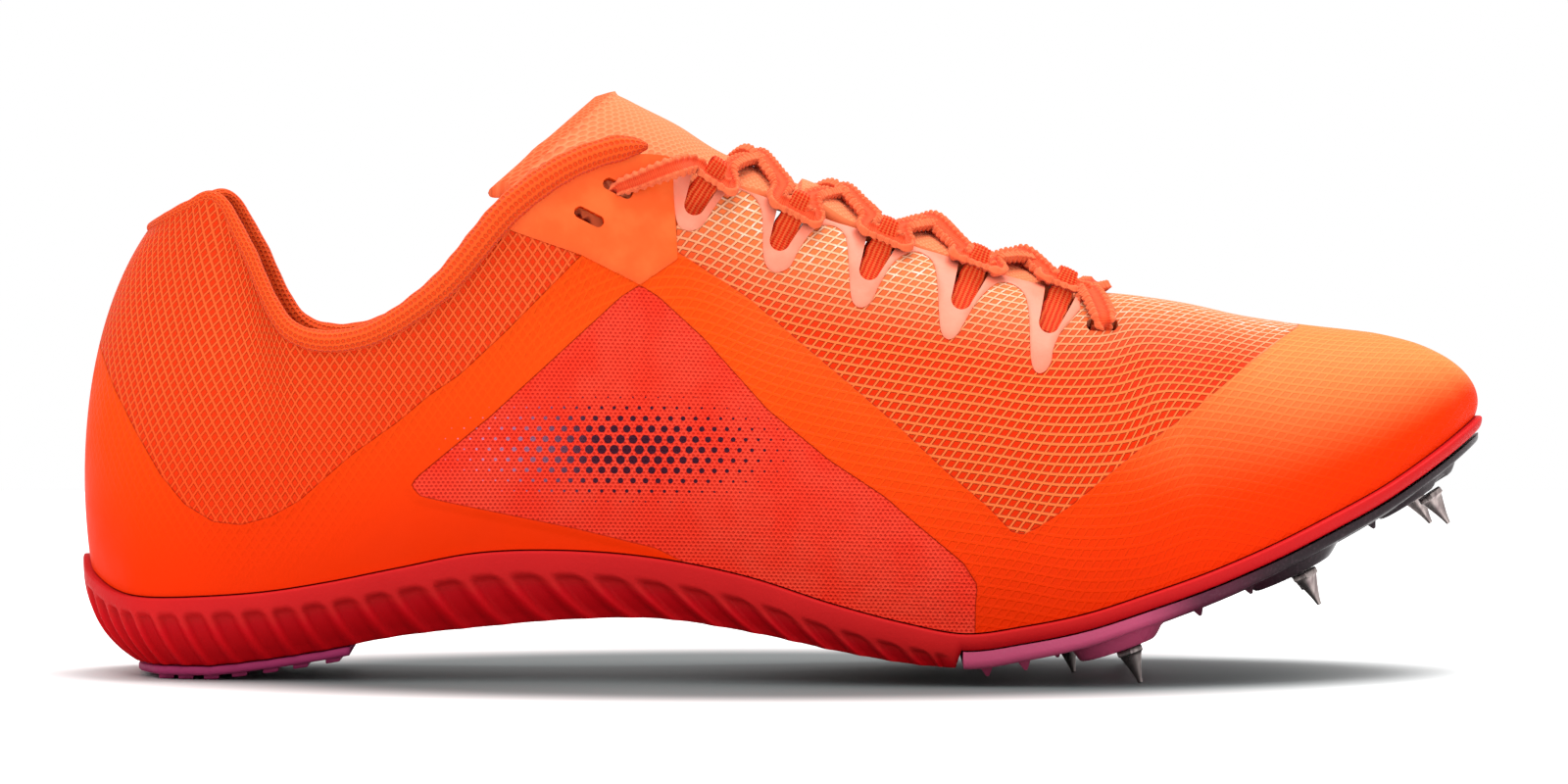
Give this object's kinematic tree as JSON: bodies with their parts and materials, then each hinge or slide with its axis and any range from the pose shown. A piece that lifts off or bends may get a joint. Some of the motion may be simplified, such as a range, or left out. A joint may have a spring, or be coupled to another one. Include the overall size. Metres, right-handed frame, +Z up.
{
  "type": "track spike shoe",
  "caption": "Low-cut running spike for the right foot: hollow mesh and film upper, laced webbing loops, ribbed foam sole, rubber heel sheet and a forefoot plate with screwed metal pins",
  "frame": {"origin": "on the ground under the heel, on the face of one of the rubber bars", "axes": "+X towards the toe, +Y towards the medial side, +Z up"},
  "size_m": [0.2863, 0.0901, 0.1186],
  "materials": {
    "upper_film": "thin matt film over mesh",
    "eyestay": "smooth fused film",
    "knit": "ribbed knit",
    "tongue": "thin padded knit",
    "webbing": "ribbed webbing",
    "lace": "flat woven lace with beaded edges",
    "foam": "moulded foam with a fine skin",
    "rubber": "matt moulded rubber",
    "plate": "satin moulded plate, pink at the back and near black at the toe",
    "steel": "worn plated steel"
  },
  "bodies": {
    "root": {"upper": "upper_film", "midsole": "foam", "insole": "knit", "tongue": "tongue", "collar_roll": "knit", "heel_outsole": "rubber", "spike_plate": "plate", "top_eyelet_panel_lateral": "upper_film", "top_eyelet_panel_medial": "upper_film", "eyestay_film_lateral": "eyestay", "eyestay_film_medial": "eyestay", "lace_loop_lateral_1": "webbing", "lace_loop_lateral_2": "webbing", "lace_loop_lateral_3": "webbing", "lace_loop_lateral_4": "webbing", "lace_loop_lateral_5": "webbing", "lace_loop_medial_1": "webbing", "lace_loop_medial_2": "webbing", "lace_loop_medial_3": "webbing", "lace_loop_medial_4": "webbing", "lace_loop_medial_5": "webbing", "lace_crossings": "lace", "spike_pin_lateral_rear": "steel", "spike_pin_medial_rear": "steel", "spike_pin_central_rear": "steel", "spike_pin_lateral_middle": "steel", "spike_pin_medial_middle": "steel", "spike_pin_lateral_front": "steel", "spike_pin_medial_front": "steel"}
  },
  "joints": []
}
